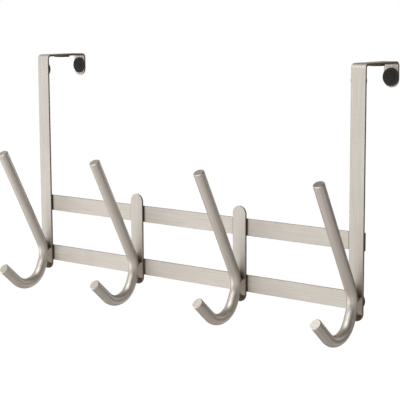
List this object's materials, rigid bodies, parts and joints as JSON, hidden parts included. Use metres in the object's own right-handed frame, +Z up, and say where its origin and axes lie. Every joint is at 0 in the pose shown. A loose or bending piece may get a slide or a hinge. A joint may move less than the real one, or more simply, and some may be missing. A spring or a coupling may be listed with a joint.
{
  "type": "over door hook rack",
  "caption": "Rigid rack that hangs over the top of a door, with a row of double coat hooks of bent rod welded to flat bars.",
  "frame": {"origin": "midway between the two straps, in the middle of the door channel, on the plane of the bridge pads that rests on the door's top edge", "axes": "+X along the rack to the viewer's right, -Y out of the door towards the room and the hooks, +Z up"},
  "size_m": [0.4064, 0.1224, 0.2456],
  "materials": {
    "satin_nickel": "satin nickel plate over fine brushing",
    "black_pad": "matt black foam rubber"
  },
  "bodies": {
    "root": {"left_strap": "satin_nickel", "right_strap": "satin_nickel", "upper_rail": "satin_nickel", "lower_rail": "satin_nickel", "left_middle_plate": "satin_nickel", "right_middle_plate": "satin_nickel", "left_end_hook": "satin_nickel", "left_middle_hook": "satin_nickel", "right_middle_hook": "satin_nickel", "right_end_hook": "satin_nickel", "left_end_weld": "satin_nickel", "left_middle_weld": "satin_nickel", "right_middle_weld": "satin_nickel", "right_end_weld": "satin_nickel", "left_lip_pad": "black_pad", "left_bridge_pad": "black_pad", "left_leg_pad": "black_pad", "left_rail_pad": "black_pad", "right_lip_pad": "black_pad", "right_bridge_pad": "black_pad", "right_leg_pad": "black_pad", "right_rail_pad": "black_pad"}
  },
  "joints": []
}
